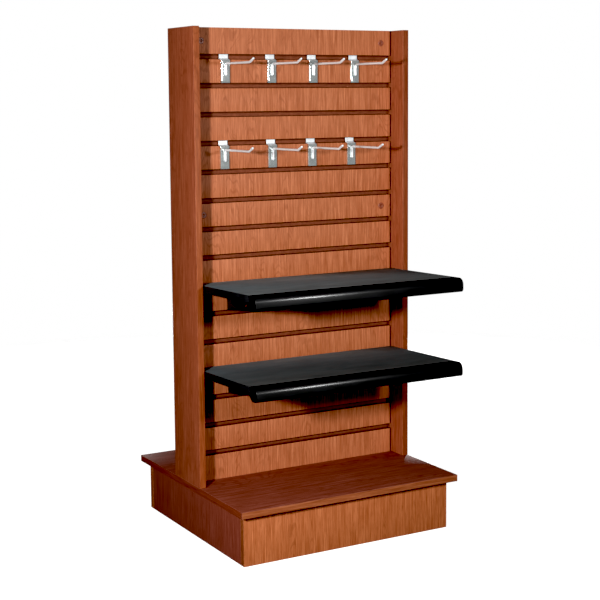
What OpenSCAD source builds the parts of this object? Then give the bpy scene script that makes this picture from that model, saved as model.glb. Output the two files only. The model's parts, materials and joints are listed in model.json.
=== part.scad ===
// Free-standing two-way slatwall merchandiser: two grooved boards back to back between two end
// panels, on a deck and a plinth, with eight prong hooks and two bullnose shelves on its front.
// Origin: centre of the plinth on the floor. +X right, -Y the dressed front, +Z up. Millimetres.

/* [Carcass] */
// Overall width, across the uprights and the deck
unit_w = 666; // [600:1:900]
// Overall depth of the deck
unit_d = 644; // [600:1:760]
// Height of the deck's top above the floor
deck_top = 152.4; // [140:0.1:200]
// Thickness of every wooden board
board_t = 18; // [18:1:20]
// Depth of the uprights, front to back
upright_d = 158; // [150:1:240]
// How far the deck oversails the plinth at each side
oversail_side = 18; // [12:1:30]
// How far the deck oversails the plinth at front and back
oversail_front = 26; // [12:1:40]

/* [Slatwall] */
// Number of grooves in each slatwall board
groove_count = 15; // [13:1:18]
// Distance from one groove to the next
groove_pitch = 76.2; // [76.2:0.1:80]
// Height of a groove's throat
throat_h = 13; // [12.5:0.1:14]
// Thickness of the lips beside the throat
lip_t = 6; // [5.5:0.1:6]
// Depth of the pocket behind the lips
pocket_t = 6; // [6:0.1:6.5]
// How far the pocket reaches up behind the upper lip
pocket_up = 9; // [8:0.5:12]
// How far the pocket reaches down behind the lower lip
pocket_down = 5; // [4:0.5:8]

/* [Hooks] */
// Grooves that carry hooks, counted from the top
hook_grooves = [1, 4]; // [1:1:8]
// Sideways positions of the upper row of hooks
upper_hook_x = [-213, -73, 57, 191]; // [-260:1:260]
// Sideways positions of the lower row of hooks
lower_hook_x = [-218, -73, 52, 179]; // [-260:1:260]
// Width of a hook's back plate
plate_w = 27; // [24:1:32]
// Diameter of a hook's wire
wire_d = 6; // [5:0.5:6.5]
// Reach of a hook from the slat's face to the bend of its tip
hook_reach = 145; // [100:1:200]
// Straight length of the upturned tip
tip_l = 22; // [15:1:30]
// Rise of the tip above the prong, in degrees
tip_rise = 25; // [15:1:30]

/* [Shelves] */
// Grooves that carry shelves, counted from the top
shelf_grooves = [9, 12]; // [9:1:12]
// Shelf depth from the slat's face to the nosing's front
shelf_d = 353; // [330:1:380]
// Gap between a shelf's end and the upright beside it
shelf_end_gap = 2; // [1:0.5:4]
// Thickness of the shelf board
shelf_t = 20; // [18:1:20]
// Height of the bullnose nosing
nosing_h = 37; // [34:1:40]
// Upward pitch of the shelf towards its front, in degrees
shelf_pitch = 1.6; // [0:0.1:2]
// Distance from the unit's centre to each shelf bracket
bracket_x = 214; // [150:1:240]
// Thickness of the brackets' steel
bracket_t = 3; // [2.5:0.1:3]

/* [Hidden] */
$fn = 48;

cherry = [0.70, 0.41, 0.26];
cherry_dark = [0.48, 0.24, 0.13];
pine = [0.80, 0.66, 0.46];
zinc = [0.75, 0.75, 0.73];
chrome = [0.82, 0.84, 0.86];
black = [0.06, 0.06, 0.06];
brown = [0.33, 0.14, 0.08];

eps = 0.01;
wall_h = (groove_count + 1) * groove_pitch;
unit_h = deck_top + wall_h;
deck_z = deck_top - board_t;
inner_w = unit_w - 2 * board_t;
plinth_w = unit_w - 2 * oversail_side;
plinth_d = unit_d - 2 * oversail_front;
groove_t = lip_t + pocket_t;
function groove_z(k) = unit_h - k * groove_pitch;

// Corner blocks and cleats inside the plinth
block_side = 25;
block_h = 100;
cleat_side = 20;
cleat_l = plinth_w - 2 * board_t - 2 * block_side - 20;

// Wood screws: countersunk head on a plain shank
screw_d = 4;
head_d = 8;
head_h = 2.4;
recess_w = 1.2;
recess_share = 0.6;
upright_screw_l = 45;
slatwall_screw_l = 45;
corner_screw_l = 38;
cleat_screw_l = 34;
shelf_screw_l = 14;

// Where the wood screws go: heights on a block, distances along a cleat, an upright and a slatwall
block_screw_z = [-30, 20];
block_screw_stagger = 12;
cleat_screw_x = [-180, 0, 180];
cleat_screw_stagger = 30;
upright_screw_y = 45;
slatwall_screw_x = [-200, 0, 200];
slatwall_screw_stagger = 20;
slatwall_screw_in = 5;

// Cam fittings that pull the slatwall boards to the uprights
cam_d = 15;
cam_h = 12.5;
cam_rim_d = 18;
cam_rim_t = 1;
cam_inset = 34;
cam_bore_gap = 0.1;
cam_slats = [1, 7, 13];
cam_recess_w = 2.2;
cam_recess_l = 9;
cam_recess_h = 2.5;
cam_head_room = 7.6;
bolt_head_d = 7;
bolt_neck_d = 4.5;
bolt_shank_d = 7;
bolt_bore_d = 7.6;
bolt_thread_d = 5;
bolt_thread_l = 11;
bolt_collar_l = 24;
bolt_head_l = 3;
function slat_z(k) = k == 1 ? unit_h - (groove_pitch - throat_h / 2) / 2 : groove_z(k) + groove_pitch / 2;

// Hook plate: a channel in front of the slat with a tab that steps back through the throat
plate_t = 1.6;
plate_face = 6;
flange_gap = 0.3;
plate_drop = 69;
tab_front = lip_t + 0.3;
tab_top = throat_h / 2 + 5;
tab_rest = throat_h / 2 - 0.2;
step_z = -throat_h / 2 - 6;
step_top = 4;
step_run = 2;
step_ease = 0.3 * plate_t;
lip_gap = 0.4;
corner_cut = 1;
flange_r = 2;
flange_neck = 3;
wire_z = -18;
tail_l = 29;
wire_bend = 5;
bend_swell = 0.4;
weld_bite = 0.4;
tail_y = plate_face + wire_d / 2 - weld_bite;

// Shelf bracket: web, top flange and a tongue that hooks behind the upper lip
bear_z = -11;
tongue_h = 5.7;
tongue_t = 2.5;
tongue_top = throat_h / 2 + 3;
tongue_rest = 0.3;
face_gap = 0.3;
web_drop = 70;
web_taper = 0.17;
web_l = shelf_d - 68;
web_lip_gap = 0.4;
web_corner_r = 6;
web_slot = [44, -47.25];
web_slot_l = 22.3;
web_slot_w = 9;
web_slot_slant = 9;
web_hole_places = [[109, -43], [170, -33]];
web_hole_d = 11;
flange_w = 22;
flange_t = 2.5;
flange_from = 10;
board_gap = 4;
notch_l = 9;
notch_h = 13;
notch_side = 1;
nosing_from = shelf_d - 35;
nosing_seat = shelf_d - 22;
nosing_back = 10;
nosing_top_r = 17;
nosing_low_r = 9;
nosing_heel_r = 4;
bracket_screws = [60, 225];
shelf_w = inner_w - 2 * shelf_end_gap;

// ---------- shared shapes ----------

// Points of an arc about c, radius r, from angle a0 to a1
function arc(c, r, a0, a1, n = 8) =
    [for (i = [0 : n]) c + r * [cos(a0 + (a1 - a0) * i / n), sin(a0 + (a1 - a0) * i / n)]];

// Board spanning x0..x1, y0..y1, z0..z1
module board(x0, x1, y0, y1, z0, z1) {
    translate([x0, y0, z0]) cube([x1 - x0, y1 - y0, z1 - z0]);
}

// Turns a profile in (forward, up) into a slab of width w centred on X, forward being -Y
module side_profile(w) {
    translate([w / 2, 0, 0]) rotate([90, 0, -90]) linear_extrude(w) children();
}

// Puts a front piece on the slatwall: x sideways, centred on the height of groove k
module at_groove(k, x = 0) {
    translate([x, -board_t, groove_z(k)]) children();
}

// Cross recess cut down from z = 0
module cross_recess(w, l, h) {
    for (a = [0, 90]) rotate(a) translate([-w / 2, -l / 2, -h]) cube([w, l, h + eps]);
}

// Countersunk screw pointing down -Z from its head at z = 0
module wood_screw(l) {
    difference() {
        union() {
            translate([0, 0, -head_h]) cylinder(d1 = screw_d, d2 = head_d, h = head_h);
            translate([0, 0, -l]) cylinder(d = screw_d, h = l - head_h + eps);
        }
        cross_recess(recess_w, head_d * recess_share, head_h * recess_share);
    }
}

// The hole that wood_screw fills
module screw_hole(l) {
    translate([0, 0, -head_h]) cylinder(d1 = screw_d, d2 = head_d, h = head_h);
    translate([0, 0, -l]) cylinder(d = screw_d, h = l);
}

// ---------- plinth ----------

// One screw through a corner block into each of its two panels, at two heights
module corner_screw_places() {
    for (sx = [-1, 1], sy = [-1, 1])
        translate([sx * (plinth_w / 2 - board_t), sy * (plinth_d / 2 - board_t), deck_z - block_h / 2]) {
            for (dz = block_screw_z) {
                translate([-sx * block_side / 2, -sy * block_side, dz]) rotate([sy * 90, 0, 0]) children();
                translate([-sx * block_side, -sy * block_side / 2, dz + block_screw_stagger])
                    rotate([0, -sx * 90, 0]) children();
            }
        }
}

// Through each cleat, sideways into the plinth and up into the deck
module cleat_screw_places() {
    for (sy = [-1, 1], x = cleat_screw_x) {
        y = sy * (plinth_d / 2 - board_t);
        translate([x, y - sy * cleat_side, deck_z - cleat_side / 2]) rotate([sy * 90, 0, 0]) children();
        translate([x + cleat_screw_stagger, y - sy * cleat_side / 2, deck_z - cleat_side])
            rotate([180, 0, 0]) children();
    }
}

// From below, through the deck into the uprights' ends
module upright_screw_places() {
    for (sx = [-1, 1], y = [-upright_screw_y, upright_screw_y])
        translate([sx * (unit_w / 2 - board_t / 2), y, deck_z]) rotate([180, 0, 0]) children();
}

// From below, through the deck into the slatwall boards' lower edges
module slatwall_screw_places() {
    for (sy = [-1, 1], x = slatwall_screw_x)
        translate([x + sy * slatwall_screw_stagger, sy * (board_t - slatwall_screw_in), deck_z])
            rotate([180, 0, 0]) children();
}

module base_panel_long(sy) {
    color(cherry) difference() {
        board(-plinth_w / 2, plinth_w / 2, sy > 0 ? plinth_d / 2 - board_t : -plinth_d / 2,
            sy > 0 ? plinth_d / 2 : -plinth_d / 2 + board_t, 0, deck_z);
        corner_screw_places() screw_hole(corner_screw_l);
        cleat_screw_places() screw_hole(cleat_screw_l);
    }
}

module base_panel_side(sx) {
    color(cherry) difference() {
        board(sx > 0 ? plinth_w / 2 - board_t : -plinth_w / 2,
            sx > 0 ? plinth_w / 2 : -plinth_w / 2 + board_t,
            -plinth_d / 2 + board_t, plinth_d / 2 - board_t, 0, deck_z);
        corner_screw_places() screw_hole(corner_screw_l);
    }
}

module base_center_rail() {
    color(cherry)
        board(-plinth_w / 2 + board_t, plinth_w / 2 - board_t, -board_t / 2, board_t / 2, 0, deck_z);
}

module corner_blocks() {
    color(pine) difference() {
        for (sx = [-1, 1], sy = [-1, 1])
            translate([sx * (plinth_w - 2 * board_t - block_side) / 2,
                sy * (plinth_d - 2 * board_t - block_side) / 2, deck_z - block_h / 2])
                cube([block_side, block_side, block_h], center = true);
        corner_screw_places() screw_hole(corner_screw_l);
    }
}

module deck_cleats() {
    color(pine) difference() {
        for (sy = [-1, 1])
            translate([0, sy * (plinth_d - 2 * board_t - cleat_side) / 2, deck_z - cleat_side / 2])
                cube([cleat_l, cleat_side, cleat_side], center = true);
        cleat_screw_places() screw_hole(cleat_screw_l);
    }
}

module corner_block_screws() {
    color(zinc) corner_screw_places() wood_screw(corner_screw_l);
}

module cleat_screws() {
    color(zinc) cleat_screw_places() wood_screw(cleat_screw_l);
}

module deck() {
    color(cherry_dark) difference() {
        board(-unit_w / 2, unit_w / 2, -unit_d / 2, unit_d / 2, deck_z, deck_top);
        cleat_screw_places() screw_hole(cleat_screw_l);
        upright_screw_places() screw_hole(upright_screw_l);
        slatwall_screw_places() screw_hole(slatwall_screw_l);
    }
}

// ---------- wall ----------

// Puts a child at every cam of one slatwall board: z = 0 on the board's face, +X towards the upright
module cam_places(face) {
    for (k = cam_slats, sx = [-1, 1])
        translate([sx * (inner_w / 2 - cam_inset), face * board_t, slat_z(k)])
            rotate([-face * 90, 0, 0]) mirror([sx < 0 ? 1 : 0, 0, 0]) children();
}

module upright(sx) {
    color(cherry) difference() {
        board(sx > 0 ? inner_w / 2 : -unit_w / 2, sx > 0 ? unit_w / 2 : -inner_w / 2,
            -upright_d / 2, upright_d / 2, deck_top, unit_h);
        upright_screw_places() screw_hole(upright_screw_l);
        for (face = [-1, 1]) cam_places(face) cam_bolt_hole();
    }
}

// Bolt axis of a cam fitting, at mid-thickness of the board, starting at the cam's centre
module on_bolt_axis(x = 0) {
    translate([x, 0, -board_t / 2]) rotate([0, 90, 0]) children();
}

module cam_bolt_hole() {
    on_bolt_axis(cam_inset) cylinder(d = bolt_thread_d, h = bolt_thread_l);
}

module slatwall_board(face) {
    color(cherry) difference() {
        board(-inner_w / 2, inner_w / 2, face > 0 ? 0 : -board_t, face > 0 ? board_t : 0, deck_top, unit_h);
        for (k = [1 : groove_count]) translate([0, face * board_t, groove_z(k)]) {
            groove_cut(face, 0, lip_t + eps, -throat_h / 2, throat_h / 2);
            groove_cut(face, lip_t, groove_t, -throat_h / 2 - pocket_down, throat_h / 2 + pocket_up);
        }
        cam_places(face) {
            translate([0, 0, -cam_h - cam_bore_gap]) cylinder(d = cam_d + 2 * cam_bore_gap, h = cam_h + 1);
            on_bolt_axis() cylinder(d = bolt_bore_d, h = cam_inset + eps);
        }
        slatwall_screw_places() screw_hole(slatwall_screw_l);
    }
}

// A slot right along the board, from depth t0 to t1 below its face and from z0 to z1
module groove_cut(face, t0, t1, z0, z1) {
    far = inner_w / 2 + 1;
    out = t0 == 0 ? -1 : t0;
    board(-far, far, face > 0 ? -t1 : out, face > 0 ? -out : t1, z0, z1);
}

// A rimmed cam: its rim lies on the board's face and covers the edge of the bore
module cam_lock() {
    difference() {
        union() {
            translate([0, 0, -cam_h]) cylinder(d = cam_d, h = cam_h + eps);
            cylinder(d1 = cam_rim_d, d2 = cam_rim_d - 2 * cam_rim_t, h = cam_rim_t);
        }
        translate([0, 0, cam_rim_t]) cross_recess(cam_recess_w, cam_recess_l, cam_recess_h);
        on_bolt_axis(-bolt_head_l) cylinder(d = cam_head_room, h = cam_d);
    }
}

module cam_locks(face) {
    color(brown) cam_places(face) cam_lock();
}

module cam_bolt() {
    on_bolt_axis(-bolt_head_l / 2) cylinder(d = bolt_head_d, h = bolt_head_l);
    on_bolt_axis(0) cylinder(d = bolt_neck_d, h = cam_inset - bolt_collar_l + eps);
    on_bolt_axis(cam_inset - bolt_collar_l) cylinder(d = bolt_shank_d, h = bolt_collar_l);
    on_bolt_axis(cam_inset - eps) cylinder(d = bolt_thread_d, h = bolt_thread_l + eps);
}

module cam_bolts(face) {
    color(zinc) cam_places(face) cam_bolt();
}

module upright_screws() {
    color(zinc) upright_screw_places() wood_screw(upright_screw_l);
}

module slatwall_screws() {
    color(zinc) slatwall_screw_places() wood_screw(slatwall_screw_l);
}

// ---------- hooks ----------

// Plate section in (forward, up): tab behind the lip, sloped step through the throat, flat face
module plate_section() {
    back = -tab_front - plate_t;
    inner = plate_face - plate_t;
    polygon([[back, tab_top], [-tab_front, tab_top], [-tab_front, -tab_rest + step_top],
        [plate_face - step_ease, step_z + step_top + step_run], [plate_face, step_z + step_top],
        [plate_face, -plate_drop], [inner, -plate_drop], [inner, step_z + step_top],
        [lip_gap, -tab_rest + lip_gap / 2], [back + corner_cut, -tab_rest], [back, -tab_rest + corner_cut]]);
}

// Side flange in (forward, up): reaches from the plate's face back to the slat
module flange_section() {
    back = flange_gap + flange_r;
    polygon(concat([[plate_face, step_z - 1], [plate_face, -plate_drop], [back, -plate_drop]],
        arc([back, -plate_drop + flange_r], flange_r, 270, 180, 4),
        arc([back, step_z - 1 - flange_neck], flange_r, 180, 90, 4)));
}

module hook_plate(k, x) {
    color(chrome) at_groove(k, x) difference() {
        union() {
            side_profile(plate_w) plate_section();
            for (sx = [-1, 1]) translate([sx * (plate_w - plate_t) / 2, 0, 0])
                side_profile(plate_t) flange_section();
        }
        weld_seat();
    }
}

// Groove that the wire's tail is welded into
module weld_seat() {
    translate([0, -tail_y, wire_z - tail_l]) cylinder(d = wire_d, h = tail_l + wire_d);
    translate([0, -tail_y, wire_z - tail_l]) sphere(d = wire_d);
}

module hook_wire(k, x) {
    color(chrome) at_groove(k, x) {
        translate([0, -tail_y, wire_z - tail_l]) sphere(d = wire_d);
        translate([0, -tail_y, wire_z - tail_l]) cylinder(d = wire_d, h = tail_l - wire_bend);
        translate([0, -tail_y - wire_bend, wire_z - wire_bend]) rotate([90, 0, 90])
            rotate_extrude(angle = 90) translate([wire_bend, 0]) circle(d = wire_d);
        translate([0, -tail_y - wire_bend, wire_z]) rotate([90, 0, 0])
            cylinder(d = wire_d, h = hook_reach - tail_y - wire_bend);
        translate([0, -hook_reach, wire_z]) rotate([90 - tip_rise, 0, 0]) {
            sphere(d = wire_d + bend_swell);
            cylinder(d = wire_d, h = tip_l);
            translate([0, 0, tip_l]) sphere(d = wire_d);
        }
    }
}

// ---------- shelves ----------

// The shelf's own frame: origin on the slat's face at the board's underside, pitched up to the front
module shelf_frame(k) {
    at_groove(k) translate([0, 0, bear_z]) rotate([-shelf_pitch, 0, 0]) children();
}

module shelf_board(k) {
    color(black) shelf_frame(k) difference() {
        board(-shelf_w / 2, shelf_w / 2, -nosing_from, -board_gap, 0, shelf_t);
        for (sx = [-1, 1]) {
            translate([sx * bracket_x - bracket_t / 2 - notch_side, -notch_l, -1])
                cube([bracket_t + 2 * notch_side, notch_l, notch_h + 1]);
            bracket_screw_places(sx) screw_hole(shelf_screw_l);
        }
    }
}

// Bullnose section in (forward, up), in the shelf's frame: full round front, hanging lip, sloped back
module nosing_section() {
    low = shelf_t - nosing_h;
    polygon(concat(
        [[nosing_from, 0], [nosing_from, shelf_t]],
        arc([shelf_d - nosing_top_r, shelf_t - nosing_top_r], nosing_top_r, 90, 0, 10),
        arc([shelf_d - nosing_low_r, low + nosing_low_r], nosing_low_r, 0, -90, 8),
        arc([nosing_seat - 3, low + nosing_heel_r], nosing_heel_r, 270, 215, 3),
        [[nosing_from - nosing_back, 0]]));
}

module shelf_nosing(k) {
    color(black) shelf_frame(k) side_profile(shelf_w) nosing_section();
}

module bracket_screw_places(sx) {
    for (f = bracket_screws)
        translate([sx * (bracket_x - flange_w / 2 - 1), -f, -flange_t]) rotate([180, 0, 0]) children();
}

// Web in (forward, up): tongue behind the lip, bearing edge under the flange, tapered lower edge
module web_section() {
    rise = tan(shelf_pitch);
    low = -throat_h / 2 + tongue_rest;
    front = -lip_t - web_lip_gap;
    back = front - tongue_t;
    neck = notch_l - notch_side;
    polygon(concat(
        [[face_gap, -web_drop], [face_gap, low], [back + corner_cut, low], [back, low + corner_cut],
        [back, tongue_top - corner_cut], [back + corner_cut, tongue_top], [front, tongue_top],
        [front, low + tongue_h], [neck - 2, low + tongue_h], [neck, low + tongue_h - 2],
        [neck, bear_z + notch_l * rise - flange_t / 2],
        [web_l, bear_z + web_l * rise - flange_t / 2]],
        arc([web_l - web_corner_r, -web_drop + web_l * web_taper + web_corner_r], web_corner_r, 0, -80, 4)));
}

// Web's stamped openings: a slanted slot with round ends and two round holes
module web_holes() {
    translate(web_slot) rotate(-web_slot_slant) {
        for (s = [-1, 1]) translate([s * web_slot_l / 2, 0]) circle(d = web_slot_w);
        square([web_slot_l, web_slot_w], center = true);
    }
    for (place = web_hole_places) translate(place) circle(d = web_hole_d);
}

module bracket(k, sx) {
    color(black) difference() {
        union() {
            at_groove(k, sx * bracket_x) side_profile(bracket_t) difference() {
                web_section();
                web_holes();
            }
            shelf_frame(k) board(min(sx * (bracket_x + bracket_t / 2), sx * (bracket_x - flange_w)),
                max(sx * (bracket_x + bracket_t / 2), sx * (bracket_x - flange_w)),
                -web_l, -flange_from, -flange_t, 0);
        }
        shelf_frame(k) bracket_screw_places(sx) screw_hole(shelf_screw_l);
    }
}

module shelf_screws(k) {
    color(zinc) shelf_frame(k)
        for (sx = [-1, 1]) bracket_screw_places(sx) wood_screw(shelf_screw_l);
}

// ---------- nodes ----------

base_panel_long(-1);  // base_front_panel
base_panel_long(1);  // base_back_panel
base_panel_side(-1);  // base_left_panel
base_panel_side(1);  // base_right_panel
base_center_rail();
corner_blocks();
deck_cleats();
corner_block_screws();
cleat_screws();
deck();
upright(-1);  // left_upright
upright(1);  // right_upright
upright_screws();
slatwall_screws();
slatwall_board(-1);  // front_slatwall
slatwall_board(1);  // back_slatwall
cam_locks(-1);  // front_cam_locks
cam_bolts(-1);  // front_cam_bolts
cam_locks(1);  // back_cam_locks
cam_bolts(1);  // back_cam_bolts
shelf_board(shelf_grooves[0]);  // upper_shelf_board
shelf_nosing(shelf_grooves[0]);  // upper_shelf_nosing
bracket(shelf_grooves[0], -1);  // upper_left_bracket
bracket(shelf_grooves[0], 1);  // upper_right_bracket
shelf_screws(shelf_grooves[0]);  // upper_shelf_screws
shelf_board(shelf_grooves[1]);  // lower_shelf_board
shelf_nosing(shelf_grooves[1]);  // lower_shelf_nosing
bracket(shelf_grooves[1], -1);  // lower_left_bracket
bracket(shelf_grooves[1], 1);  // lower_right_bracket
shelf_screws(shelf_grooves[1]);  // lower_shelf_screws
hook_plate(hook_grooves[0], upper_hook_x[0]);  // upper_hook_1_plate
hook_wire(hook_grooves[0], upper_hook_x[0]);  // upper_hook_1_wire
hook_plate(hook_grooves[0], upper_hook_x[1]);  // upper_hook_2_plate
hook_wire(hook_grooves[0], upper_hook_x[1]);  // upper_hook_2_wire
hook_plate(hook_grooves[0], upper_hook_x[2]);  // upper_hook_3_plate
hook_wire(hook_grooves[0], upper_hook_x[2]);  // upper_hook_3_wire
hook_plate(hook_grooves[0], upper_hook_x[3]);  // upper_hook_4_plate
hook_wire(hook_grooves[0], upper_hook_x[3]);  // upper_hook_4_wire
hook_plate(hook_grooves[1], lower_hook_x[0]);  // lower_hook_1_plate
hook_wire(hook_grooves[1], lower_hook_x[0]);  // lower_hook_1_wire
hook_plate(hook_grooves[1], lower_hook_x[1]);  // lower_hook_2_plate
hook_wire(hook_grooves[1], lower_hook_x[1]);  // lower_hook_2_wire
hook_plate(hook_grooves[1], lower_hook_x[2]);  // lower_hook_3_plate
hook_wire(hook_grooves[1], lower_hook_x[2]);  // lower_hook_3_wire
hook_plate(hook_grooves[1], lower_hook_x[3]);  // lower_hook_4_plate
hook_wire(hook_grooves[1], lower_hook_x[3]);  // lower_hook_4_wire
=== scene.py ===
"""Looks of the two-way slatwall merchandiser: cherry boards, grooved panels, chrome hooks and black shelves.

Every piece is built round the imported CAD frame, in metres: +X right, -Y the dressed front, +Z up.
"""

import json
import math

import bmesh
import bpy
from mathutils import Matrix, Vector


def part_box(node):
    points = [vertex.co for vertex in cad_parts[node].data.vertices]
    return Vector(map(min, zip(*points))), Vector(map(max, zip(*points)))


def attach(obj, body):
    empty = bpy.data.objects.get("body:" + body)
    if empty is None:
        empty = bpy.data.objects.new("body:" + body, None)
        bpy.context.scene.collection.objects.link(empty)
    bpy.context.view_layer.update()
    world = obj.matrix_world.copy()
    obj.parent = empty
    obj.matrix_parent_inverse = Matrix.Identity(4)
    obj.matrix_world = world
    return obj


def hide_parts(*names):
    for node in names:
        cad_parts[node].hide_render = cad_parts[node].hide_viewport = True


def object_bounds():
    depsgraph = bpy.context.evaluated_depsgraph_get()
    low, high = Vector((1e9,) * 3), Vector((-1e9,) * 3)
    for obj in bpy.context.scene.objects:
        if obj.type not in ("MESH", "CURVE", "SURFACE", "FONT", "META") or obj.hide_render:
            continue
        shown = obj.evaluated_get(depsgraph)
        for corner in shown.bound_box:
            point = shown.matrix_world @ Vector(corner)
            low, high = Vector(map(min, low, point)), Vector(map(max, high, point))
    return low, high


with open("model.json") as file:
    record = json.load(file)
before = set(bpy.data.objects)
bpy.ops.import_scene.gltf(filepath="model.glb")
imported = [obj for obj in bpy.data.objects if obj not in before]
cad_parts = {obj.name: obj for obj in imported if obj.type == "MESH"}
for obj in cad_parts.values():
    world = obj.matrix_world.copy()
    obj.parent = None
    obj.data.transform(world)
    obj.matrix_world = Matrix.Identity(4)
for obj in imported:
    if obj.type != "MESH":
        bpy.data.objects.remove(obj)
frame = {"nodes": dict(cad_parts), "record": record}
CAD_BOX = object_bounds()
NODES = frame["nodes"]
BODIES = frame["record"]["behaviour"]["bodies"]
MM = 0.001


# ---------- shader graphs ----------

def material(name):
    mat = bpy.data.materials.new(name)
    mat.use_nodes = True
    mat.node_tree.nodes.clear()
    return mat


def put(mat, kind, inputs=None, **props):
    """Adds a shader node. inputs maps a socket's name or number to a constant or to another node's output."""
    node = mat.node_tree.nodes.new("ShaderNode" + kind)
    for key, value in props.items():
        setattr(node, key, value)
    for key, value in (inputs or {}).items():
        if isinstance(value, bpy.types.NodeSocket):
            mat.node_tree.links.new(value, node.inputs[key])
        else:
            node.inputs[key].default_value = value
    return node


def mapped(mat, scale, offset=(0, 0, 0)):
    """The object's own coordinates, moved by offset and then stretched."""
    place = put(mat, "TexCoord").outputs["Object"]
    moved = put(mat, "VectorMath", {0: place, 1: offset}, operation="ADD")
    return put(mat, "VectorMath", {0: moved.outputs[0], 1: scale}, operation="MULTIPLY").outputs[0]


def noise(mat, at, scale, detail=2.0, roughness=0.5, distortion=0.0):
    return put(mat, "TexNoise", {"Vector": at, "Scale": scale, "Detail": detail, "Roughness": roughness,
                                 "Distortion": distortion}).outputs["Fac"]


def ramp(mat, fac, stops):
    """Colour ramp through (position, colour) stops. A number as colour means that grey."""
    node = put(mat, "ValToRGB", {"Fac": fac})
    elements = node.color_ramp.elements
    while len(elements) < len(stops):
        elements.new(1.0)
    for element, (at, colour) in zip(elements, stops):
        element.position = at
        element.color = (*colour, 1) if isinstance(colour, tuple) else (colour, colour, colour, 1)
    return node.outputs["Color"]


def span(mat, fac, low, high):
    """fac from 0..1 onto low..high."""
    return put(mat, "MapRange", {"Value": fac, "To Min": low, "To Max": high}).outputs["Result"]


def mix(mat, fac, a, b, mode="MIX"):
    a = (*a, 1) if isinstance(a, tuple) else a
    b = (*b, 1) if isinstance(b, tuple) else b
    return put(mat, "Mix", {0: fac, 6: a, 7: b}, data_type="RGBA", blend_type=mode).outputs[2]


def math_node(mat, operation, a, b):
    return put(mat, "Math", {0: a, 1: b}, operation=operation, use_clamp=True).outputs[0]


def surface(mat, colour, roughness, bump=None, strength=0.1, depth=0.2 * MM, **sockets):
    """Ends a material with its shader. Constants go on the shader's own sockets."""
    inputs = {"Base Color": colour, "Roughness": roughness}
    if bump is not None:
        inputs["Normal"] = put(mat, "Bump", {"Strength": strength, "Distance": depth, "Height": bump}).outputs[0]
    inputs.update({key.replace("_", " "): value for key, value in sockets.items()})
    shader = put(mat, "BsdfPrincipled", inputs)
    put(mat, "OutputMaterial", {"Surface": shader.outputs[0]})
    return mat


# ---------- materials ----------

CHERRY_LIGHT = (0.560, 0.205, 0.102)
CHERRY_MID = (0.425, 0.142, 0.067)
CHERRY_RED = (0.330, 0.098, 0.043)
CHERRY_DARK = (0.200, 0.052, 0.022)
CHERRY_RUBBED = (0.60, 0.30, 0.16)
# The stretch of the grain for a board whose grain runs along that axis.
ALONG = {"X": (0.035, 1, 1), "Y": (1, 0.035, 1), "Z": (1, 1, 0.035)}
# The arched figure: half its width, how far it wanders sideways, and the phase in radians that its lines gain
# for each metre along the grain, for each square metre across it, and by their ripple.
FIGURE_HALF = 38 * MM
FIGURE_DRIFT = 0.16
FIGURE_ALONG = 150.0
FIGURE_ARCH = 36000.0
FIGURE_RIPPLE = 9.0


def flame(mat, along, offset):
    """Flat-sawn figure: nested arches, the contours of a parabola repeated across the board."""
    line = ALONG[along]
    parts = put(mat, "SeparateXYZ", {0: mapped(mat, (1, 1, 1), offset)}).outputs
    a, b = [parts[axis] for axis in "XYZ" if axis != along]
    drift = noise(mat, mapped(mat, tuple(0.25 if v < 1 else 1 for v in line), offset), 14, 2, 0.5)
    ripple = noise(mat, mapped(mat, tuple(0.3 if v < 1 else 1 for v in line), offset), 60, 3, 0.6)
    across = put(mat, "Math", {0: a, 1: b}, operation="ADD").outputs[0]
    across = put(mat, "Math", {0: drift, 1: FIGURE_DRIFT, 2: across}, operation="MULTIPLY_ADD").outputs[0]
    aside = put(mat, "Math", {0: across, 1: FIGURE_HALF}, operation="PINGPONG").outputs[0]
    square = put(mat, "Math", {0: aside, 1: aside}, operation="MULTIPLY").outputs[0]
    phase = put(mat, "Math", {0: square, 1: FIGURE_ARCH}, operation="MULTIPLY").outputs[0]
    phase = put(mat, "Math", {0: parts[along], 1: FIGURE_ALONG, 2: phase}, operation="MULTIPLY_ADD").outputs[0]
    phase = put(mat, "Math", {0: ripple, 1: FIGURE_RIPPLE, 2: phase}, operation="MULTIPLY_ADD").outputs[0]
    wave = put(mat, "Math", {0: phase}, operation="SINE").outputs[0]
    lines = put(mat, "MapRange", {"Value": wave, "From Min": 0.25, "From Max": 0.95},
                interpolation_type="SMOOTHSTEP").outputs["Result"]
    inside = put(mat, "MapRange", {"Value": aside, "From Min": 0.75 * FIGURE_HALF, "From Max": 0.35 * FIGURE_HALF},
                 interpolation_type="SMOOTHSTEP").outputs["Result"]
    return math_node(mat, "MULTIPLY", lines, inside)


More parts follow.
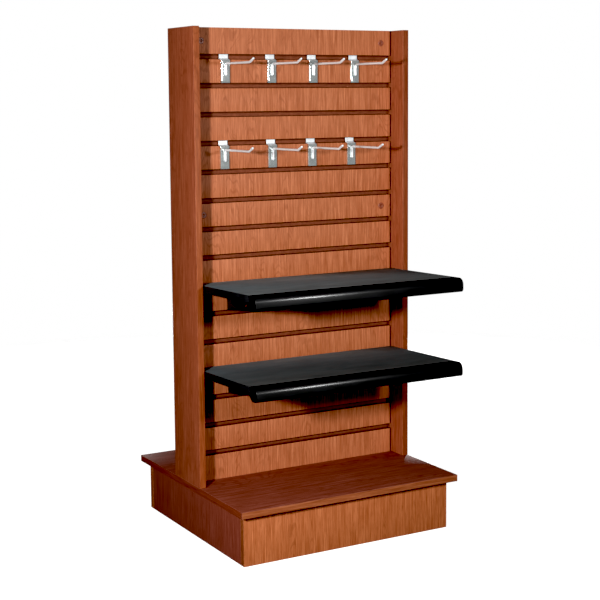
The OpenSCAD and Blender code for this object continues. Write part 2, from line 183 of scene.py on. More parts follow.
def cherry(name, along, offset, tone_and_painted_shade=(1, 1, 1), rough=0.47, rubbed=0.0, gloss=0.17):
    """Printed cherry melamine: grain along one axis, fine streaks, arched figure and open pores."""
    mat = material(name)
    grain = mapped(mat, ALONG[along], offset)
    pore_at = mapped(mat, tuple(0.05 if v < 1 else 1 for v in ALONG[along]), offset)

    plank = noise(mat, grain, 7, 2, 0.5, 0.4)
    streak = noise(mat, grain, 270, 4, 0.68)
    fine = noise(mat, grain, 800, 3, 0.7)
    pores = noise(mat, pore_at, 950, 1, 0.5)

    tone = ramp(mat, streak, [(0.35, CHERRY_RED), (0.50, CHERRY_MID), (0.63, CHERRY_LIGHT)])
    tone = mix(mat, ramp(mat, plank, [(0.35, 0.0), (0.7, 0.30)]), tone, CHERRY_MID)
    figure = math_node(mat, "MULTIPLY", flame(mat, along, offset),
                       ramp(mat, plank, [(0.42, 0.04), (0.60, 0.34)]))
    tone = mix(mat, figure, tone, CHERRY_DARK)
    tone = mix(mat, 1.0, tone, ramp(mat, fine, [(0.34, 0.84), (0.52, 1.0), (0.8, 1.06)]), "MULTIPLY")
    pore_mask = ramp(mat, pores, [(0.60, 0.0), (0.74, 0.4)])
    tone = mix(mat, pore_mask, tone, CHERRY_DARK)
    if rubbed:
        wear = noise(mat, mapped(mat, (1, 1, 1), offset), 45, 3, 0.7)
        tone = mix(mat, ramp(mat, wear, [(0.45, 0.0), (0.62, rubbed)]), tone, CHERRY_RUBBED)
    # The tint multiplied in here is partly the board's own tone and partly painted shade.
    tone = mix(mat, 1.0, tone, tone_and_painted_shade, "MULTIPLY")
    height = math_node(mat, "SUBTRACT", fine, pore_mask)
    return surface(mat, tone, span(mat, streak, rough - 0.06, rough + 0.10), height, 0.12, 0.15 * MM,
                   Specular_IOR_Level=gloss)


def groove_paint(name, low, high):
    """Brown sealer on routed fibreboard: matt, with fibres and cutter marks along the groove."""
    mat = material(name)
    fibres = noise(mat, mapped(mat, (0.15, 1, 1)), 420, 3, 0.7)
    cutter = noise(mat, mapped(mat, (1, 0.2, 0.2)), 160, 2, 0.5)
    tone = ramp(mat, fibres, [(0.30, low), (0.70, high)])
    tone = mix(mat, 1.0, tone, ramp(mat, cutter, [(0.3, 0.82), (0.7, 1.0)]), "MULTIPLY")
    return surface(mat, tone, span(mat, cutter, 0.48, 0.66), fibres, 0.2, 0.2 * MM, Specular_IOR_Level=0.15)


def raw_board(name="raw_fibreboard"):
    """Cut fibreboard in bores and on hidden edges."""
    mat = material(name)
    grit = noise(mat, mapped(mat, (1, 1, 1)), 600, 4, 0.7)
    tone = ramp(mat, grit, [(0.3, (0.14, 0.065, 0.030)), (0.7, (0.26, 0.14, 0.07))])
    return surface(mat, tone, 0.8, grit, 0.3)


def pine(name="pine"):
    """Softwood blocks and battens: pale, with yellow-brown rings."""
    mat = material(name)
    at = mapped(mat, (1, 1, 0.08))
    rings = put(mat, "TexWave", {"Vector": at, "Scale": 42.0, "Distortion": 5.0, "Detail": 2.0},
                bands_direction="DIAGONAL").outputs["Fac"]
    fibre = noise(mat, at, 300, 3, 0.6)
    tone = ramp(mat, rings, [(0.2, (0.62, 0.43, 0.22)), (0.85, (0.42, 0.23, 0.09))])
    tone = mix(mat, 1.0, tone, ramp(mat, fibre, [(0.3, 0.85), (0.7, 1.0)]), "MULTIPLY")
    return surface(mat, tone, span(mat, fibre, 0.55, 0.75), fibre, 0.25, 0.3 * MM)


def plated(name, colour, rough, cloud=0.12, scratch=0.10, metallic=1.0):
    """Bright or dull plating: drawn scratches, faint clouds and finger-dulled patches."""
    mat = material(name)
    drawn = noise(mat, mapped(mat, (1, 1, 0.04)), 900, 2, 0.6)
    clouds = noise(mat, mapped(mat, (1, 1, 1)), 60, 3, 0.6)
    tone = mix(mat, 1.0, colour, ramp(mat, clouds, [(0.3, 1.0 - cloud), (0.7, 1.0)]), "MULTIPLY")
    shine = math_node(mat, "ADD", span(mat, clouds, rough * 0.7, rough * 1.4), span(mat, drawn, 0.0, scratch))
    return surface(mat, tone, shine, drawn, 0.06, 0.05 * MM, Metallic=metallic)


# Where the shelf laminate's painted light by depth starts and ends.
SHELF_FRONT_Y = -0.30
SHELF_BACK_Y = -0.03


def laminate(name, painted_light_by_depth):
    """Black shelf melamine: pebbled, with greyish handling marks drawn out along the shelf.

    The painted light by depth is given as (place, tint) stops from the shelf's front, 0, to its back, 1, and the
    melamine's dark grey is itself partly painted sheen.
    """
    mat = material(name)
    pebble = noise(mat, mapped(mat, (1, 1, 1)), 900, 3, 0.6)
    marks = noise(mat, mapped(mat, (0.35, 1, 1)), 22, 5, 0.65, 0.4)
    wide = noise(mat, mapped(mat, (1, 1, 1)), 5, 2, 0.5)
    # The dark grey of the melamine is partly painted sheen.
    tone = ramp(mat, marks, [(0.30, (0.110, 0.127, 0.131)), (0.55, (0.138, 0.157, 0.162)),
                             (0.80, (0.174, 0.194, 0.200))])
    y = put(mat, "SeparateXYZ", {0: mapped(mat, (1, 1, 1))}).outputs["Y"]
    depth = put(mat, "MapRange", {"Value": y, "From Min": SHELF_FRONT_Y,
                                  "From Max": SHELF_BACK_Y}).outputs["Result"]
    # Painted light: a tint that changes from the shelf's front to its back.
    tone = mix(mat, 1.0, tone, ramp(mat, depth, painted_light_by_depth), "MULTIPLY")
    tone = mix(mat, 1.0, tone, ramp(mat, wide, [(0.35, 0.92), (0.65, 1.06)]), "MULTIPLY")
    return surface(mat, tone, span(mat, marks, 0.78, 0.90), pebble, 0.22, 0.12 * MM, Specular_IOR_Level=0.06,
                   Sheen_Weight=0.018, Sheen_Roughness=0.4)


def nosing_vinyl(name, rough, gloss):
    """Extruded black vinyl: fine drawing lines along its length and small scuffs."""
    mat = material(name)
    lines = noise(mat, mapped(mat, (0.01, 1, 1)), 500, 2, 0.5)
    scuffs = noise(mat, mapped(mat, (0.3, 1, 1)), 60, 2, 0.6)
    tone = ramp(mat, scuffs, [(0.45, (0.010, 0.010, 0.010)), (0.85, (0.014, 0.014, 0.015))])
    return surface(mat, tone, span(mat, scuffs, rough, rough + 0.02), lines, 0.004, 0.02 * MM,
                   Specular_IOR_Level=gloss)


def edge_tape(name="black_edge_tape"):
    """Black tape on the shelf's edges: satin, with faint drawn lines."""
    mat = material(name)
    lines = noise(mat, mapped(mat, (0.05, 0.05, 1)), 700, 2, 0.5)
    tone = ramp(mat, lines, [(0.35, (0.018, 0.018, 0.019)), (0.7, (0.028, 0.028, 0.029))])
    return surface(mat, tone, span(mat, lines, 0.45, 0.6), lines, 0.1, 0.05 * MM, Specular_IOR_Level=0.2)


def powder_coat(name="black_powder_coat"):
    """Black powder coat on steel: orange peel and worn high spots."""
    mat = material(name)
    peel = noise(mat, mapped(mat, (1, 1, 1)), 700, 2, 0.5)
    patches = noise(mat, mapped(mat, (1, 1, 1)), 70, 4, 0.7)
    tone = ramp(mat, patches, [(0.4, (0.018, 0.018, 0.019)), (0.8, (0.034, 0.034, 0.035))])
    return surface(mat, tone, span(mat, patches, 0.38, 0.52), peel, 0.25, 0.15 * MM, Specular_IOR_Level=0.15)


def cam_finish(name="brown_cam"):
    """Brown-lacquered die-cast cams, with pale pink patches that are partly rubbed lacquer and partly painted
    glint.
    """
    mat = material(name)
    cast = noise(mat, mapped(mat, (1, 1, 1)), 500, 3, 0.6)
    patches = noise(mat, mapped(mat, (1, 1, 1)), 180, 3, 0.7)
    # The palest stop is partly painted glint.
    tone = ramp(mat, patches, [(0.40, (0.200, 0.050, 0.028)), (0.62, (0.270, 0.080, 0.046)),
                           (0.85, (0.400, 0.190, 0.130))])
    return surface(mat, tone, span(mat, patches, 0.36, 0.48), cast, 0.2, 0.1 * MM, Specular_IOR_Level=0.4)


# The groove's brown paint, and two darker copies of it that are painted shade: one above and below the middle of
# each pocket, the darkest on the lips, the throats and the board's ends.
GROOVE = groove_paint("groove_paint", (0.150, 0.045, 0.025), (0.250, 0.080, 0.044))
GROOVE_PAINTED_SHADE = groove_paint("groove_painted_shade", (0.080, 0.020, 0.011), (0.135, 0.036, 0.019))
THROAT_PAINTED_SHADE = groove_paint("throat_painted_shade", (0.022, 0.007, 0.005), (0.050, 0.014, 0.009))
RAW = raw_board()
PINE = pine()
ZINC = plated("zinc", (0.58, 0.60, 0.62), 0.34)
CHROME = plated("chrome", (0.88, 0.94, 0.93), 0.06, 0.16, 0.03, 0.90)
WIRE_PLATE = plated("bright_wire", (0.92, 0.95, 0.97), 0.28, 0.10, 0.06, 0.3)
# The whiter plating on the hooks' tab and neck is a painted highlight.
BEND_PAINTED_HIGHLIGHT = plated("bend_painted_highlight", (0.80, 0.83, 0.85), 0.40, 0.25, 0.06, 0.25)
# Painted light by depth: the upper shelf lighter and cooler towards the back, the lower one darker towards the
# front.
LAMINATES = {
    "upper": laminate("upper_laminate", [(0.0, (0.97, 0.94, 0.93)), (1.0, (1.18, 1.47, 1.60))]),
    "lower": laminate("lower_laminate", [(0.0, (0.54, 0.48, 0.46)), (0.5, (0.66, 0.66, 0.67)),
                                         (1.0, (0.98, 1.19, 1.29))]),
}
EDGE_TAPE = edge_tape()
NOSING = nosing_vinyl("black_nosing", 0.27, 0.62)
NOSING_TOP = nosing_vinyl("black_nosing_top", 0.8, 0.02)
POWDER = powder_coat()
CAM = cam_finish()


# ---------- mesh helpers ----------

def body_of(node):
    return next(body for body, members in BODIES.items() if node in members)


def piece(name, bm, mats, node, smooth_angle=35.0):
    """Makes an object from bm that stands for a CAD node and rides on its body."""
    mesh = bpy.data.meshes.new(name)
    bmesh.ops.recalc_face_normals(bm, faces=bm.faces)
    bm.to_mesh(mesh)
    bm.free()
    for mat in mats:
        mesh.materials.append(mat)
    obj = bpy.data.objects.new(name, mesh)
    bpy.context.scene.collection.objects.link(obj)
    for polygon in mesh.polygons:
        polygon.use_smooth = True
    mesh.set_sharp_from_angle(angle=math.radians(smooth_angle))
    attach(obj, body_of(node))
    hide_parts(node)
    return obj


def keep(node, mat):
    """A CAD node that stays, with a better material."""
    obj = NODES[node]
    for slot in obj.material_slots:
        slot.material = mat


def sharp_edges(bm, degrees):
    return [e for e in bm.edges if len(e.link_faces) == 2 and e.calc_face_angle(0) > math.radians(degrees)]


# Facets that meet at less than this are one flat face of the CAD, and a face whose normal has this much Z in it
# is a top or an underside.
SAME_FACE = math.radians(0.6)
LEVEL = 0.7


def rounded_copy(name, node, mats, width, segments=2, degrees=30.0, smooth_angle=35.0):
    """A CAD node's shape with every sharp edge broken. A second material goes on the faces that aren't level."""
    bm = bmesh.new()
    bm.from_mesh(NODES[node].data)
    for face in bm.faces:
        face.material_index = 0
    bmesh.ops.remove_doubles(bm, verts=bm.verts, dist=1e-6)
    bmesh.ops.dissolve_limit(bm, angle_limit=SAME_FACE, verts=bm.verts, edges=bm.edges)
    bmesh.ops.bevel(bm, geom=sharp_edges(bm, degrees), offset=width, segments=segments, profile=0.5,
                    affect="EDGES", clamp_overlap=True)
    if len(mats) > 1:
        for face in bm.faces:
            face.material_index = 0 if abs(face.normal.z) > LEVEL else 1
    return piece(name, bm, mats, node, smooth_angle)


BOARD_ROUND = 0.8 * MM
BAND_ROUGH = 0.46
BAND_RUBBED = 0.35
BAND_SHIFT = 0.37      # moves the edge band's print away from the face's


def board(name, node, along, offset, tone_and_painted_shade=(1, 1, 1), band_tone_and_painted_shade=(0.64, 0.60, 0.58), gloss=0.17,
          end_painted_shade=None):
    """A laminated board: wide faces, edge band and rubbed arrises, each with its own finish.

    Its tints are partly the board's own tone and partly painted shade; the one for the ends gives the edge bands
    on the board's left and right ends a darker painted shade of their own.
    """
    low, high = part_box(node)
    size = high - low
    thin = min(range(3), key=lambda i: size[i])
    bm = bmesh.new()
    bmesh.ops.create_cube(bm, size=1.0,
                          matrix=Matrix.Translation((low + high) / 2) @ Matrix.Diagonal((*size, 1)))
    for face in bm.faces:
        face.material_index = 0 if abs(face.normal[thin]) > 0.5 else 1
    cut = bmesh.ops.bevel(bm, geom=bm.edges[:], offset=BOARD_ROUND, segments=3, profile=0.5, affect="EDGES",
                          material=2)
    for face in cut["faces"]:
        face.material_index = 2
    if end_painted_shade:
        for face in bm.faces:
            if abs(face.normal.x) > 0.9:
                face.material_index = 3
    mats = [cherry(name + "_face", along, offset, tone_and_painted_shade, gloss=gloss),
            cherry(name + "_band", along, tuple(v + BAND_SHIFT for v in offset), band_tone_and_painted_shade, BAND_ROUGH),
            cherry(name + "_arris", along, offset, tone_and_painted_shade, BAND_ROUGH, BAND_RUBBED)]
    if end_painted_shade:
        mats.append(cherry(name + "_end", "Y", offset, end_painted_shade, BAND_ROUGH))
    return piece(name, bm, mats, node)


# ---------- carcass ----------

# The tints below are partly the boards' own tone and partly painted shade: the deck, the plinth's sides and the
# end panels are darkened for the light they get, the deck's ends more so, and the right edge bands more than the
# left.
board("left_end_panel", "left_upright", "Z", (0.31, 0.12, 0.40), (0.73, 0.63, 0.72), (0.68, 0.58, 0.52))
board("right_end_panel", "right_upright", "Z", (0.83, 0.55, 0.15), (0.81, 0.72, 0.80), (0.54, 0.43, 0.40))
board("deck_board", "deck", "X", (0.20, 0.71, 0.33), (0.55, 0.52, 0.78), (0.70, 0.66, 0.64),
      gloss=0.02, end_painted_shade=(0.46, 0.36, 0.44))
board("plinth_front", "base_front_panel", "Z", (1.37, 0.40, 0.90), (1.0, 0.95, 0.85))
board("plinth_back", "base_back_panel", "Z", (2.11, 0.10, 0.70), (0.95, 0.90, 0.85))
board("plinth_left", "base_left_panel", "Z", (0.50, 1.63, 0.20), (0.52, 0.46, 0.68))
board("plinth_right", "base_right_panel", "Z", (0.50, 2.27, 0.60), (0.70, 0.62, 0.62))
board("plinth_rail", "base_center_rail", "Z", (3.10, 0.20, 0.10))
for block in ("corner_blocks", "deck_cleats"):
    keep(block, PINE)
for screws in ("corner_block_screws", "cleat_screws", "upright_screws", "slatwall_screws",
               "upper_shelf_screws", "lower_shelf_screws", "front_cam_bolts", "back_cam_bolts"):
    keep(screws, ZINC)


# ---------- slatwall ----------

# The CAD's groove. Depths are from the board's face, heights from the groove's middle.
PITCH = 76.2 * MM
GROOVES = 15
THROAT = 13 * MM
LIP = 6 * MM
POCKET = 12 * MM
POCKET_UP = 15.5 * MM
POCKET_DOWN = 11.5 * MM
LIP_ROUND = 0.9 * MM
# The board stops short of the end panels by END_GAP, and the face's last strip at each end, as wide as the next
# number, carries the throats' painted shade to darken the corner.
END_GAP = 1.0 * MM
END_PAINTED_SHADE = 2.6 * MM
# On the pocket's back, the groove's brown paint shows between these two heights, and painted shade lies above and
# below.
PAINT_FROM = -5.0 * MM
PAINT_TO = 2.5 * MM
# The finish on each stretch of a groove's section, by the number of its first corner: brown paint in the pocket's
# middle and painted shade above and below it; "throat", the darkest painted shade, elsewhere.
GROOVE_FINISHES = {4: "groove_painted_shade", 5: "groove", 6: "groove_painted_shade"}
SLATWALL_MATS = {"face": 0, "groove": 1, "edge": 2, "raw": 3, "throat": 4, "groove_painted_shade": 5}


def corner(at, before, after, radius, steps=3):
    """The rounded corner at a point of a polyline, as a short run of points."""
    a, b = (Vector(before) - Vector(at)).normalized(), (Vector(after) - Vector(at)).normalized()
    start, end = Vector(at) + a * radius, Vector(at) + b * radius
    centre = start + b * radius
    out = []
    for i in range(steps + 1):
        t = math.pi / 2 * i / steps
        out.append(centre - b * radius * math.cos(t) - a * radius * math.sin(t))
    return [tuple(p) for p in out] if abs(a.dot(b)) < 0.1 else [tuple(start), tuple(end)]


def slatwall(name, node, offset):
    """One grooved board: T-grooves with eased lips, brown paint and painted shade inside them, and bores for the
    cam locks.

    Its outline, of (depth, height) points that each carry the finish of the stretch after them, runs up the face,
    through every groove, and down the back. It is swept along X over four places: the ends' strips of painted
    shade and the middle.
    """
    low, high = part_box(node)
    front = abs(low.y) > abs(high.y)
    face = low.y if front else high.y
    back = high.y if front else low.y
    inward = 1 if front else -1
    outline = [((0, low.z), "face")]
    for k in range(GROOVES, 0, -1):
        z = high.z - k * PITCH
        path = [(0, z - THROAT),
                (0, z - THROAT / 2), (LIP, z - THROAT / 2), (LIP, z - POCKET_DOWN), (POCKET, z - POCKET_DOWN),
                (POCKET, z + PAINT_FROM), (POCKET, z + PAINT_TO),
                (POCKET, z + POCKET_UP), (LIP, z + POCKET_UP), (LIP, z + THROAT / 2), (0, z + THROAT / 2),
                (0, z + THROAT)]
        for i in range(1, len(path) - 1):
            on_lip = i <= 2 or i >= len(path) - 3
            points = corner(path[i], path[i - 1], path[i + 1], LIP_ROUND) if on_lip else [path[i]]
            outline += [(p, GROOVE_FINISHES.get(i, "throat")) for p in points]
        outline[-1] = (outline[-1][0], "face")
    depth = abs(back - face)
    outline += [((0, high.z), "edge"), ((depth, high.z), "raw"), ((depth, low.z), "edge")]

    bm = bmesh.new()
    left, right = low.x + END_GAP, high.x - END_GAP
    loops = [[bm.verts.new((x, face + inward * t, z)) for (t, z), kind in outline]
             for x in (left, left + END_PAINTED_SHADE, right - END_PAINTED_SHADE, right)]
    count = len(outline)
    for part, (a, b) in enumerate(zip(loops, loops[1:])):
        for i in range(count):
            j = (i + 1) % count
            quad = bm.faces.new((a[i], a[j], b[j], b[i]))
            kind = outline[i][1]
            # the face's strips at the board's two ends take the throats' painted shade
            shaded_end = kind == "face" and part != 1
            quad.material_index = SLATWALL_MATS["throat" if shaded_end else kind]
    for loop in (loops[0], loops[-1]):
        cap = bm.faces.new(loop)
        cap.material_index = SLATWALL_MATS["throat"]
    mats = [cherry(name + "_face", "Z", offset), GROOVE,
            cherry(name + "_edge", "X", offset, (0.94, 0.9, 0.9), BAND_ROUGH), RAW, THROAT_PAINTED_SHADE, GROOVE_PAINTED_SHADE]
    obj = piece(name, bm, mats, node)
    bore_cams(obj, "front_cam_locks" if front else "back_cam_locks", face, inward, mats)
    return obj


def clusters(node, cell=0.05):
    """Centres of a CAD node's separate solids, found from where its vertices gather in X and Z."""
    cells = {}
    for v in NODES[node].data.vertices:
        key = (round(v.co.x / cell), round(v.co.z / cell))
        cells.setdefault(key, []).append(v.co.copy())
    groups = []
    for points in cells.values():
        mid = sum(points, Vector()) / len(points)
        for group in groups:
            if (group[0] - mid).length < cell:
                group[1].extend(points)
                break
        else:
            groups.append([mid, points])
    return [(Vector(map(min, *g[1])) + Vector(map(max, *g[1]))) / 2 for g in groups]


CAM_BORE = 15.2 * MM
CAM_DEEP = 12.6 * MM
CAM_CHAMFER = 0.3 * MM
BORE_SIDES = 40
OVERCUT = 1 * MM       # how far the cutter stands out of the face


def bore_cams(obj, cams, face, inward, mats):
    """Cuts the cam locks' bores, with a small chamfer at the mouth."""
    bm = bmesh.new()
    for centre in clusters(cams):
        mouth = CAM_BORE / 2 + CAM_CHAMFER
        rings = [(-OVERCUT, mouth), (0, mouth), (CAM_CHAMFER, CAM_BORE / 2), (CAM_DEEP, CAM_BORE / 2)]
        loops = []
        for deep, radius in rings:
            loops.append([bm.verts.new((centre.x + radius * math.cos(a), face + inward * deep,
                                        centre.z + radius * math.sin(a)))
                          for a in (2 * math.pi * i / BORE_SIDES for i in range(BORE_SIDES))])
        for a, b in zip(loops, loops[1:]):
            for i in range(BORE_SIDES):
                j = (i + 1) % BORE_SIDES
                bm.faces.new((a[i], a[j], b[j], b[i]))
        bm.faces.new(loops[0])
        bm.faces.new(loops[-1])
    bmesh.ops.recalc_face_normals(bm, faces=bm.faces)
    for bore_face in bm.faces:
        bore_face.material_index = SLATWALL_MATS["raw"]
    mesh = bpy.data.meshes.new("bore_cutter")
    bm.to_mesh(mesh)
    bm.free()
    for mat in mats:
        mesh.materials.append(mat)
    cutter = bpy.data.objects.new("bore_cutter", mesh)
    bpy.context.scene.collection.objects.link(cutter)
    cut = obj.modifiers.new("bores", "BOOLEAN")
    cut.operation = "DIFFERENCE"
    cut.solver = "EXACT"
    cut.object = cutter
    bpy.context.view_layer.update()
    done = bpy.data.meshes.new_from_object(obj.evaluated_get(bpy.context.evaluated_depsgraph_get()))
    obj.modifiers.clear()
    obj.data = done
    bpy.data.objects.remove(cutter)


slatwall("slatwall_front_board", "front_slatwall", (0.07, 0.90, 0.26))
slatwall("slatwall_back_board", "back_slatwall", (1.91, 1.40, 0.55))
for side in ("front", "back"):
    rounded_copy(side + "_cams", side + "_cam_locks", [CAM], 0.25 * MM)


# ---------- hooks ----------

SHEET = 1.6 * MM
# Places on the plate, measured down from its top: the tab and neck end at the first, step forward to the face by
# the second, and the two side flanges start at the third.
NECK_FOOT = 16.5 * MM
FACE_TOP = 20.5 * MM
FLANGE_TOP = 26 * MM
NECK_RADII = [1.6 * MM, 1.8 * MM]
BEND_BELOW = FACE_TOP + 0.1 * MM      # the painted highlight, a whiter plating on the tab and neck, ends here
CURL = 1.5 * MM        # radius of the fold between face and flange
EAR_INSET = 0.2 * MM
FLANGE_BACK = -0.0183  # the flanges' free edges, just clear of the slat
FACE_STEPS = 8
FLAT_STEPS = 6
CURL_STEPS = 4


def bend_path(points, radii, steps=5):
    """Polyline with its inner corners rounded to the given radii, in 2 or 3 dimensions."""
    out = [Vector(points[0])]
    for before, at, after, radius in zip(points, points[1:], points[2:], radii):
        at = Vector(at)
        a, b = (Vector(before) - at).normalized(), (Vector(after) - at).normalized()
        half = a.angle(b) / 2
        reach = radius / math.tan(half)
        centre = at + (a + b).normalized() * (radius / math.sin(half))
        start, end = at + a * reach - centre, at + b * reach - centre
        turn = start.angle(end)
        for i in range(steps + 1):
            t = i / steps
            out.append(centre + (start * math.sin((1 - t) * turn) + end * math.sin(t * turn)) / math.sin(turn))
    out.append(Vector(points[-1]))
    return out


def hook_plate(row, i):
    """Pressed steel hook plate: a tab for the groove, a stepped neck and a flanged face, all one sheet."""
    node = f"{row}_hook_{i}_plate"
    low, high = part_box(node)
    x, half_t = (low.x + high.x) / 2, SHEET / 2
    face, back = low.y + half_t, high.y - half_t
    neck = high.z - FLANGE_TOP
    line = bend_path([(back, high.z), (back, high.z - NECK_FOOT), (face, high.z - FACE_TOP), (face, neck)],
                     NECK_RADII, 4)
    rows = [(p[0], p[1], False) for p in line]
    rows += [(face, neck - n * (neck - low.z) / FACE_STEPS, True) for n in range(1, FACE_STEPS + 1)]
    wide = (high.x - low.x) / 2
    flat = wide - half_t - CURL
    bm = bmesh.new()
    grid = {}

    def vert(r, c, co):
        grid[(r, c)] = bm.verts.new(co)

    for r, (y, z, folded) in enumerate(rows):
        for c in range(FLAT_STEPS + 1):
            vert(r, c, (x - flat + 2 * flat * c / FLAT_STEPS, y, z))
        if not folded:
            for s in (-1, 1):
                vert(r, (s, "ear"), (x + s * (wide - EAR_INSET), y, z))
        if folded or r == len(line) - 1:
            for s in (-1, 1):
                for n in range(1, CURL_STEPS + 1):
                    t = math.pi / 2 * n / CURL_STEPS
                    vert(r, (s, n), (x + s * (flat + CURL * math.sin(t)), y + CURL * (1 - math.cos(t)), z))
                vert(r, (s, CURL_STEPS + 1), (x + s * (flat + CURL), FLANGE_BACK, z))
    for r in range(len(rows) - 1):
        for c in range(FLAT_STEPS):
            bm.faces.new([grid[(r, c)], grid[(r, c + 1)], grid[(r + 1, c + 1)], grid[(r + 1, c)]])
        for edge, s in ((0, -1), (FLAT_STEPS, 1)):
            if (r + 1, (s, "ear")) in grid:
                bm.faces.new([grid[(r, edge)], grid[(r, (s, "ear"))], grid[(r + 1, (s, "ear"))],
                              grid[(r + 1, edge)]])
            if (r, (s, 1)) in grid:
                chain = [edge] + [(s, n) for n in range(1, CURL_STEPS + 2)]
                for a, b in zip(chain, chain[1:]):
                    bm.faces.new([grid[(r, a)], grid[(r, b)], grid[(r + 1, b)], grid[(r + 1, a)]])
    for quad in bm.faces:
        # The tab and neck get the whiter plating, a painted highlight.
        quad.material_index = int(quad.calc_center_median().z > high.z - BEND_BELOW)
    obj = piece(f"{row}_plate_{i}", bm, [CHROME, BEND_PAINTED_HIGHLIGHT], node, 45)
    thick = obj.modifiers.new("sheet", "SOLIDIFY")
    thick.thickness = SHEET
    thick.offset = 0
    thick.use_even_offset = True
    soft = obj.modifiers.new("edges", "BEVEL")
    soft.width = 0.25 * MM
    soft.segments = 2
    soft.limit_method = "ANGLE"
    soft.angle_limit = math.radians(50)
    return obj


def tube(bm, path, radius, around=20, cap=5):
    """Round bar along a path, with domed ends."""
    frames = []
    for i, p in enumerate(path):
        ahead = path[min(i + 1, len(path) - 1)] - path[max(i - 1, 0)]
        frames.append((p, ahead.normalized()))
    side = Vector((1, 0, 0))
    rings = []

    def ring(centre, along, r):
        up = along.cross(side).normalized()
        rings.append([bm.verts.new(centre + side * (r * math.cos(a)) + up * (r * math.sin(a)))
                      for a in (2 * math.pi * k / around for k in range(around))])

    for n in range(1, cap + 1):
        t = math.pi / 2 * n / cap
        if n < cap:
            ring(frames[0][0] - frames[0][1] * (radius * math.cos(t)), frames[0][1], radius * math.sin(t))
    for p, along in frames:
        ring(p, along, radius)
    for n in range(cap - 1, 0, -1):
        t = math.pi / 2 * n / cap
        ring(frames[-1][0] + frames[-1][1] * (radius * math.cos(t)), frames[-1][1], radius * math.sin(t))
    for a, b in zip(rings, rings[1:]):
        for k in range(around):
            bm.faces.new((a[k], a[(k + 1) % around], b[(k + 1) % around], b[k]))
    for end, (p, along), sign in ((rings[0], frames[0], -1), (rings[-1], frames[-1], 1)):
        tip = bm.verts.new(p + along * (sign * radius))
        for k in range(around):
            bm.faces.new((end[k], end[(k + 1) % around], tip))


WIRE = 6 * MM
TIP_RISE = math.radians(25)
TIP = 22 * MM
WIRE_RADII = [5.5 * MM, 12 * MM]


def hook_wire(row, i):
    """Prong of 6 mm wire: tail welded down the plate, straight arm and an upturned tip."""
    node = f"{row}_hook_{i}_wire"
    low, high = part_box(node)
    x = (low.x + high.x) / 2
    tail = high.y - WIRE / 2
    foot = low.z + WIRE / 2
    tip_end = low.y + WIRE / 2
    bend = tip_end + TIP * math.cos(TIP_RISE)
    top = high.z - WIRE / 2
    arm = top - TIP * math.sin(TIP_RISE)
    points = [(x, tail, foot), (x, tail, arm), (x, bend, arm), (x, tip_end, top)]
    bm = bmesh.new()
    tube(bm, bend_path(points, WIRE_RADII, 8), WIRE / 2)
    return piece(f"{row}_wire_{i}", bm, [WIRE_PLATE], node, 60)


for row in ("upper", "lower"):
    for i in range(1, 5):
        hook_plate(row, i)
        hook_wire(row, i)


# ---------- shelves ----------

for row in ("upper", "lower"):
    rounded_copy(row + "_board", row + "_shelf_board", [LAMINATES[row], EDGE_TAPE], 0.5 * MM)
    rounded_copy(row + "_bullnose", row + "_shelf_nosing", [NOSING_TOP, NOSING], 0.4 * MM,
                 smooth_angle=40)
    for hand in ("left", "right"):
        rounded_copy(f"{row}_{hand}_arm", f"{row}_{hand}_bracket", [POWDER], 0.3 * MM)


# ---------- floor, light and camera ----------

FLOOR_RADIUS = 4.5
FADE_FROM = 0.9
FADE_TO = 3.2
FLOOR_DROP = 0.2 * MM  # keeps the floor off the plinth's underside


def floor():
    """A pale disc that fades into the white studio."""
    bm = bmesh.new()
    bmesh.ops.create_circle(bm, cap_ends=True, radius=FLOOR_RADIUS, segments=96)
    mesh = bpy.data.meshes.new("floor")
    bm.to_mesh(mesh)
    bm.free()
    mat = material("pale_floor")
    place = put(mat, "TexCoord").outputs["Object"]
    far = put(mat, "VectorMath", {0: place}, operation="LENGTH").outputs["Value"]
    fade = put(mat, "MapRange", {"Value": far, "From Min": FADE_FROM, "From Max": FADE_TO},
               interpolation_type="SMOOTHSTEP").outputs["Result"]
    speck = noise(mat, mapped(mat, (1, 1, 1)), 90, 3, 0.6)
    pale = put(mat, "BsdfPrincipled", {"Base Color": ramp(mat, speck, [(0.3, 0.80), (0.7, 0.84)]),
                                       "Roughness": 0.8, "Emission Color": (1, 1, 1, 1),
                                       "Emission Strength": 0.80})
    clear = put(mat, "BsdfTransparent")
    both = put(mat, "MixShader", {0: fade, 1: pale.outputs[0], 2: clear.outputs[0]})
    put(mat, "OutputMaterial", {"Surface": both.outputs[0]})
    mesh.materials.append(mat)
    obj = bpy.data.objects.new("floor", mesh)
    obj.location.z = CAD_BOX[0].z - FLOOR_DROP
    obj.visible_diffuse = False
    obj.visible_glossy = False
    bpy.context.scene.collection.objects.link(obj)


def light(name, azimuth, height, distance, size, watts, aim_z):
    """Round soft box. Azimuth is seen from above: 0 in front of the slatwall, positive to its right."""
    data = bpy.data.lights.new(name, "AREA")
    data.shape = "DISK"
    data.size = size
    data.energy = watts
    obj = bpy.data.objects.new(name, data)
    a = math.radians(azimuth)
    obj.location = (math.sin(a) * distance, -math.cos(a) * distance, height)
    obj.rotation_mode = "QUATERNION"
    obj.rotation_quaternion = (Vector((0, 0, aim_z)) - obj.location).to_track_quat("-Z", "Y")
    bpy.context.scene.collection.objects.link(obj)


WHITE = (1, 1, 1, 1)
ROOM = 0.055           # how strongly the white room lights matt surfaces
ROOM_FRONT = 0.25      # how bright the room in front shows in gloss
ROOM_BACK = 0.04       # and the room behind
BLACK_LEVEL = 0.03     # the photo's contrast: this much light and less is black


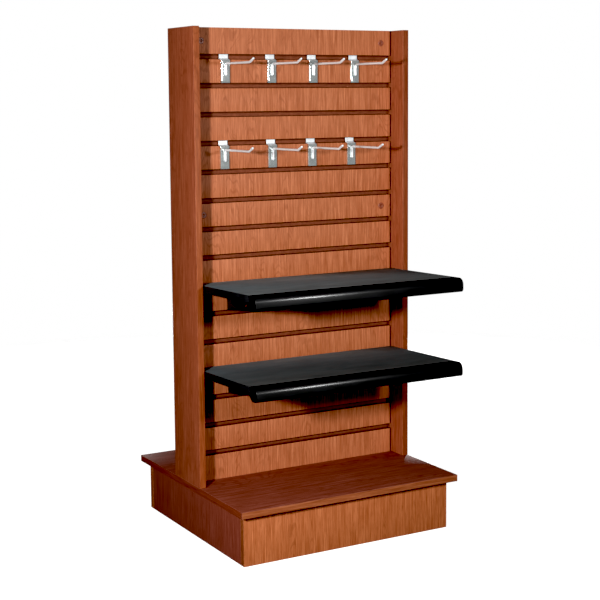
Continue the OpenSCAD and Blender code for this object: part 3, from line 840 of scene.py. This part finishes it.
def studio():
    """A white room that is white to the eye and dim as a light, five lamps, and the photo's contrast."""
    world = bpy.data.worlds.new("studio")
    bpy.context.scene.world = world
    world.use_nodes = True
    world.node_tree.nodes.clear()
    way = put(world, "SeparateXYZ", {0: put(world, "TexCoord").outputs["Generated"]}).outputs["Y"]
    wall = put(world, "MapRange", {"Value": way, "From Min": -0.1, "From Max": 0.5,
                                   "To Min": ROOM_FRONT, "To Max": ROOM_BACK}).outputs["Result"]
    ray = put(world, "LightPath").outputs
    strength = put(world, "MapRange", {"Value": ray["Is Glossy Ray"], "To Min": ROOM,
                                       "To Max": wall}).outputs["Result"]
    lit = put(world, "Background", {"Color": WHITE, "Strength": strength})
    seen = put(world, "Background", {"Color": WHITE, "Strength": 1.0})
    both = put(world, "MixShader", {0: ray["Is Camera Ray"], 1: lit.outputs[0], 2: seen.outputs[0]})
    put(world, "OutputWorld", {"Surface": both.outputs[0]})
    view = bpy.context.scene.view_settings
    view.view_transform = "Standard"
    view.use_curve_mapping = True
    view.curve_mapping.black_level = (BLACK_LEVEL,) * 3
    view.curve_mapping.update()
    light("key_left", azimuth=-47, height=1.24, distance=3.0, size=0.20, watts=96, aim_z=0.8)
    light("fill_right", azimuth=12.8, height=1.25, distance=2.62, size=0.20, watts=29, aim_z=0.8)
    light("back_right", azimuth=135, height=0.07, distance=3.0, size=0.12, watts=55, aim_z=0.7)
    light("back_middle", azimuth=172, height=0.07, distance=3.0, size=0.12, watts=35, aim_z=0.7)
    light("back_top", azimuth=190, height=2.6, distance=2.2, size=0.8, watts=5, aim_z=0.4)


CAMERA_AT = (-1.8248, -3.2512, 1.1918)
CAMERA_YAW = math.radians(29.614)
CAMERA_PITCH = math.radians(6.374)
CAMERA_ROLL = math.radians(-0.417)
CAMERA_LENS = 80.88
CAMERA_SHIFT = -0.09


def camera():
    """The photograph's view: from the left of the slatwall's front, a little above its middle."""
    data = bpy.data.cameras.new("camera")
    data.sensor_width = 36
    data.lens = CAMERA_LENS
    data.shift_y = CAMERA_SHIFT
    obj = bpy.data.objects.new("camera", data)
    ahead = Vector((math.sin(CAMERA_YAW) * math.cos(CAMERA_PITCH),
                    math.cos(CAMERA_YAW) * math.cos(CAMERA_PITCH), -math.sin(CAMERA_PITCH)))
    level = Vector((math.cos(CAMERA_YAW), -math.sin(CAMERA_YAW), 0))
    up = level.cross(ahead)
    right = level * math.cos(CAMERA_ROLL) + up * math.sin(CAMERA_ROLL)
    up = right.cross(ahead)
    turn = Matrix((right, up, -ahead)).transposed()
    obj.matrix_world = Matrix.Translation(CAMERA_AT) @ turn.to_4x4()
    bpy.context.scene.collection.objects.link(obj)
    bpy.context.scene.camera = obj


floor()
studio()
camera()
